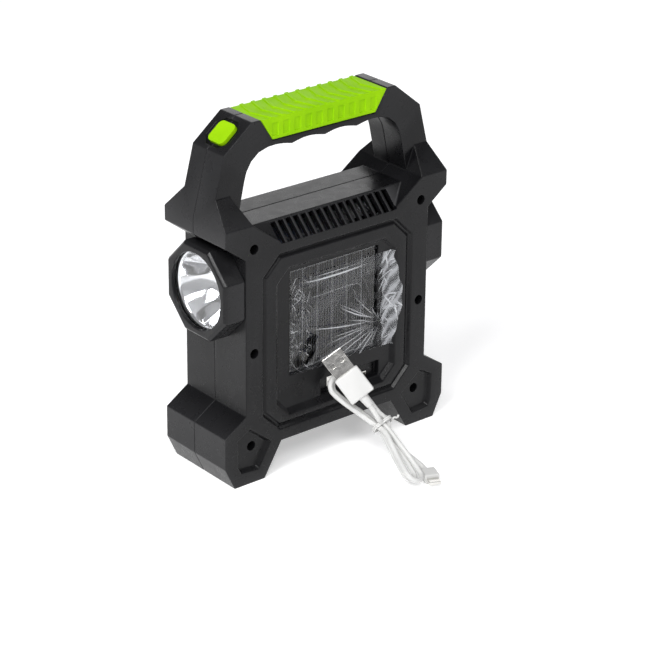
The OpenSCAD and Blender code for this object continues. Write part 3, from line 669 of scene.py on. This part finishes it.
def film_mesh(x, y, z, crease):
    bm = bmesh.new()
    rows, columns = x.shape
    made = [[bm.verts.new((x[j, i], y[j, i], z[j, i])) for i in range(columns)]
            for j in range(rows)]
    for j in range(rows - 1):
        for i in range(columns - 1):
            bm.faces.new((made[j][i], made[j + 1][i], made[j + 1][i + 1], made[j][i + 1]))
    mesh = mesh_from("panel_film", bm)
    mesh.attributes.new("crease", "FLOAT", "POINT").data.foreach_set("value", crease.ravel())
    return mesh


def make_film():
    """Loose clear film laid over the panel, with folds that fan out from one pinched spot."""
    low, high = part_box("protective_film")
    x, z, ragged = film_grid(low, high)
    lift, crease = film_folds(low, high, x, z)
    y = film_profile(low, high, x) + np.clip(lift, LIFT_LOW, LIFT_HIGH)
    film = add_piece("panel_film", film_mesh(x, y, z, crease), "clear_film", ["protective_film"])


# ---------- lamp reflectors ----------

def bowl_profile(rim):
    """The bowl's rings, as radius and share of its depth, from the throat to the rim."""
    foot = THROAT_R + THROAT_STEP
    mouth = rim - RIM_W
    profile = [(THROAT_R, 0.0), (foot, 0.01)]
    for r in range(1, BOWL_RINGS + 1):
        share = r / BOWL_RINGS
        profile.append((foot + (mouth - THROAT_R - THROAT_STEP) * math.sqrt(share), share))
    return [*profile, (rim, 1.0)]


def make_reflector(name, side):
    """Polished bowl with shallow flutes and a step round its throat; side is +1 or -1 on X."""
    low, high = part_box(name)
    centre_z = (low[2] + high[2]) / 2
    rim = (high[2] - low[2]) / 2 - RIM_GAP
    mouth_x, back_x = (high[0], low[0]) if side > 0 else (low[0], high[0])
    bm = bmesh.new()
    made = []
    for radius, share in bowl_profile(rim):
        ring = []
        for k in range(BOWL_SIDES):
            angle = 2 * math.pi * k / BOWL_SIDES
            flute = abs(math.sin(FLUTES * angle / 2))
            reach = min(radius - FLUTE_DEPTH * math.sin(math.pi * share) * flute, rim)
            ring.append(bm.verts.new((back_x + (mouth_x - back_x) * share, reach * math.cos(angle),
                                      centre_z + reach * math.sin(angle))))
        made.append(ring)
    for inner, outer in zip(made, made[1:]):
        for k in range(BOWL_SIDES):
            n = (k + 1) % BOWL_SIDES
            bm.faces.new((inner[k], inner[n], outer[n], outer[k]))
    bmesh.ops.recalc_face_normals(bm, faces=bm.faces)
    bowl = add_piece(name + "_bowl", mesh_from(name, bm), "chrome_reflector", [name])
    skin = bowl.modifiers.new("thickness", "SOLIDIFY")
    skin.thickness = BOWL_SKIN
    skin.offset = 0


# ---------- studio ----------

def add_light(name, place, size, power):
    data = bpy.data.lights.new(name, "AREA")
    data.size = size
    data.energy = power
    light = bpy.data.objects.new(name, data)
    light.location = place
    light.rotation_euler = (CAMERA_AIM - Vector(place)).to_track_quat("-Z", "Y").to_euler()
    scene.collection.objects.link(light)


def make_sky():
    world = bpy.data.worlds.new("studio")
    world.use_nodes = True
    tree = world.node_tree
    place = node(tree, "ShaderNodeTexCoord")
    split = node(tree, "ShaderNodeSeparateXYZ")
    tree.links.new(place.outputs["Generated"], split.inputs["Vector"])
    background = tree.nodes["Background"]
    tree.links.new(ramp(tree, split.outputs["Z"], SKY), background.inputs["Color"])
    background.inputs["Strength"].default_value = SKY_STRENGTH
    scene.world = world


def make_floor():
    bm = bmesh.new()
    bm.faces.new([bm.verts.new((sx * FLOOR_REACH, sy * FLOOR_REACH, 0))
                  for sx, sy in ((-1, -1), (1, -1), (1, 1), (-1, 1))])
    floor = bpy.data.objects.new("floor", mesh_from("floor", bm))
    material, tree, shader = new_material("pale_floor", (0.9, 0.9, 0.9), 0.8,
                                          Specular_IOR_Level=0.1, Emission_Color=(1, 1, 1, 1),
                                          Emission_Strength=FLOOR_GLOW)
    floor.data.materials.append(material)
    scene.collection.objects.link(floor)


def make_studio():
    scene.view_settings.view_transform = "Standard"
    make_sky()
    for light in LIGHTS:
        add_light(*light)
    make_floor()


def shade_cad_nodes():
    for name, cad_node in nodes.items():
        cad_node.data.materials.clear()
        cad_node.data.materials.append(materials[slot_of[name]])


make_camera()
materials = make_materials()
shade_cad_nodes()
make_cable()
make_tie()
make_housing()
make_film()
make_reflector("torch_reflector", 1)
make_reflector("side_lamp_reflector", -1)
make_studio()
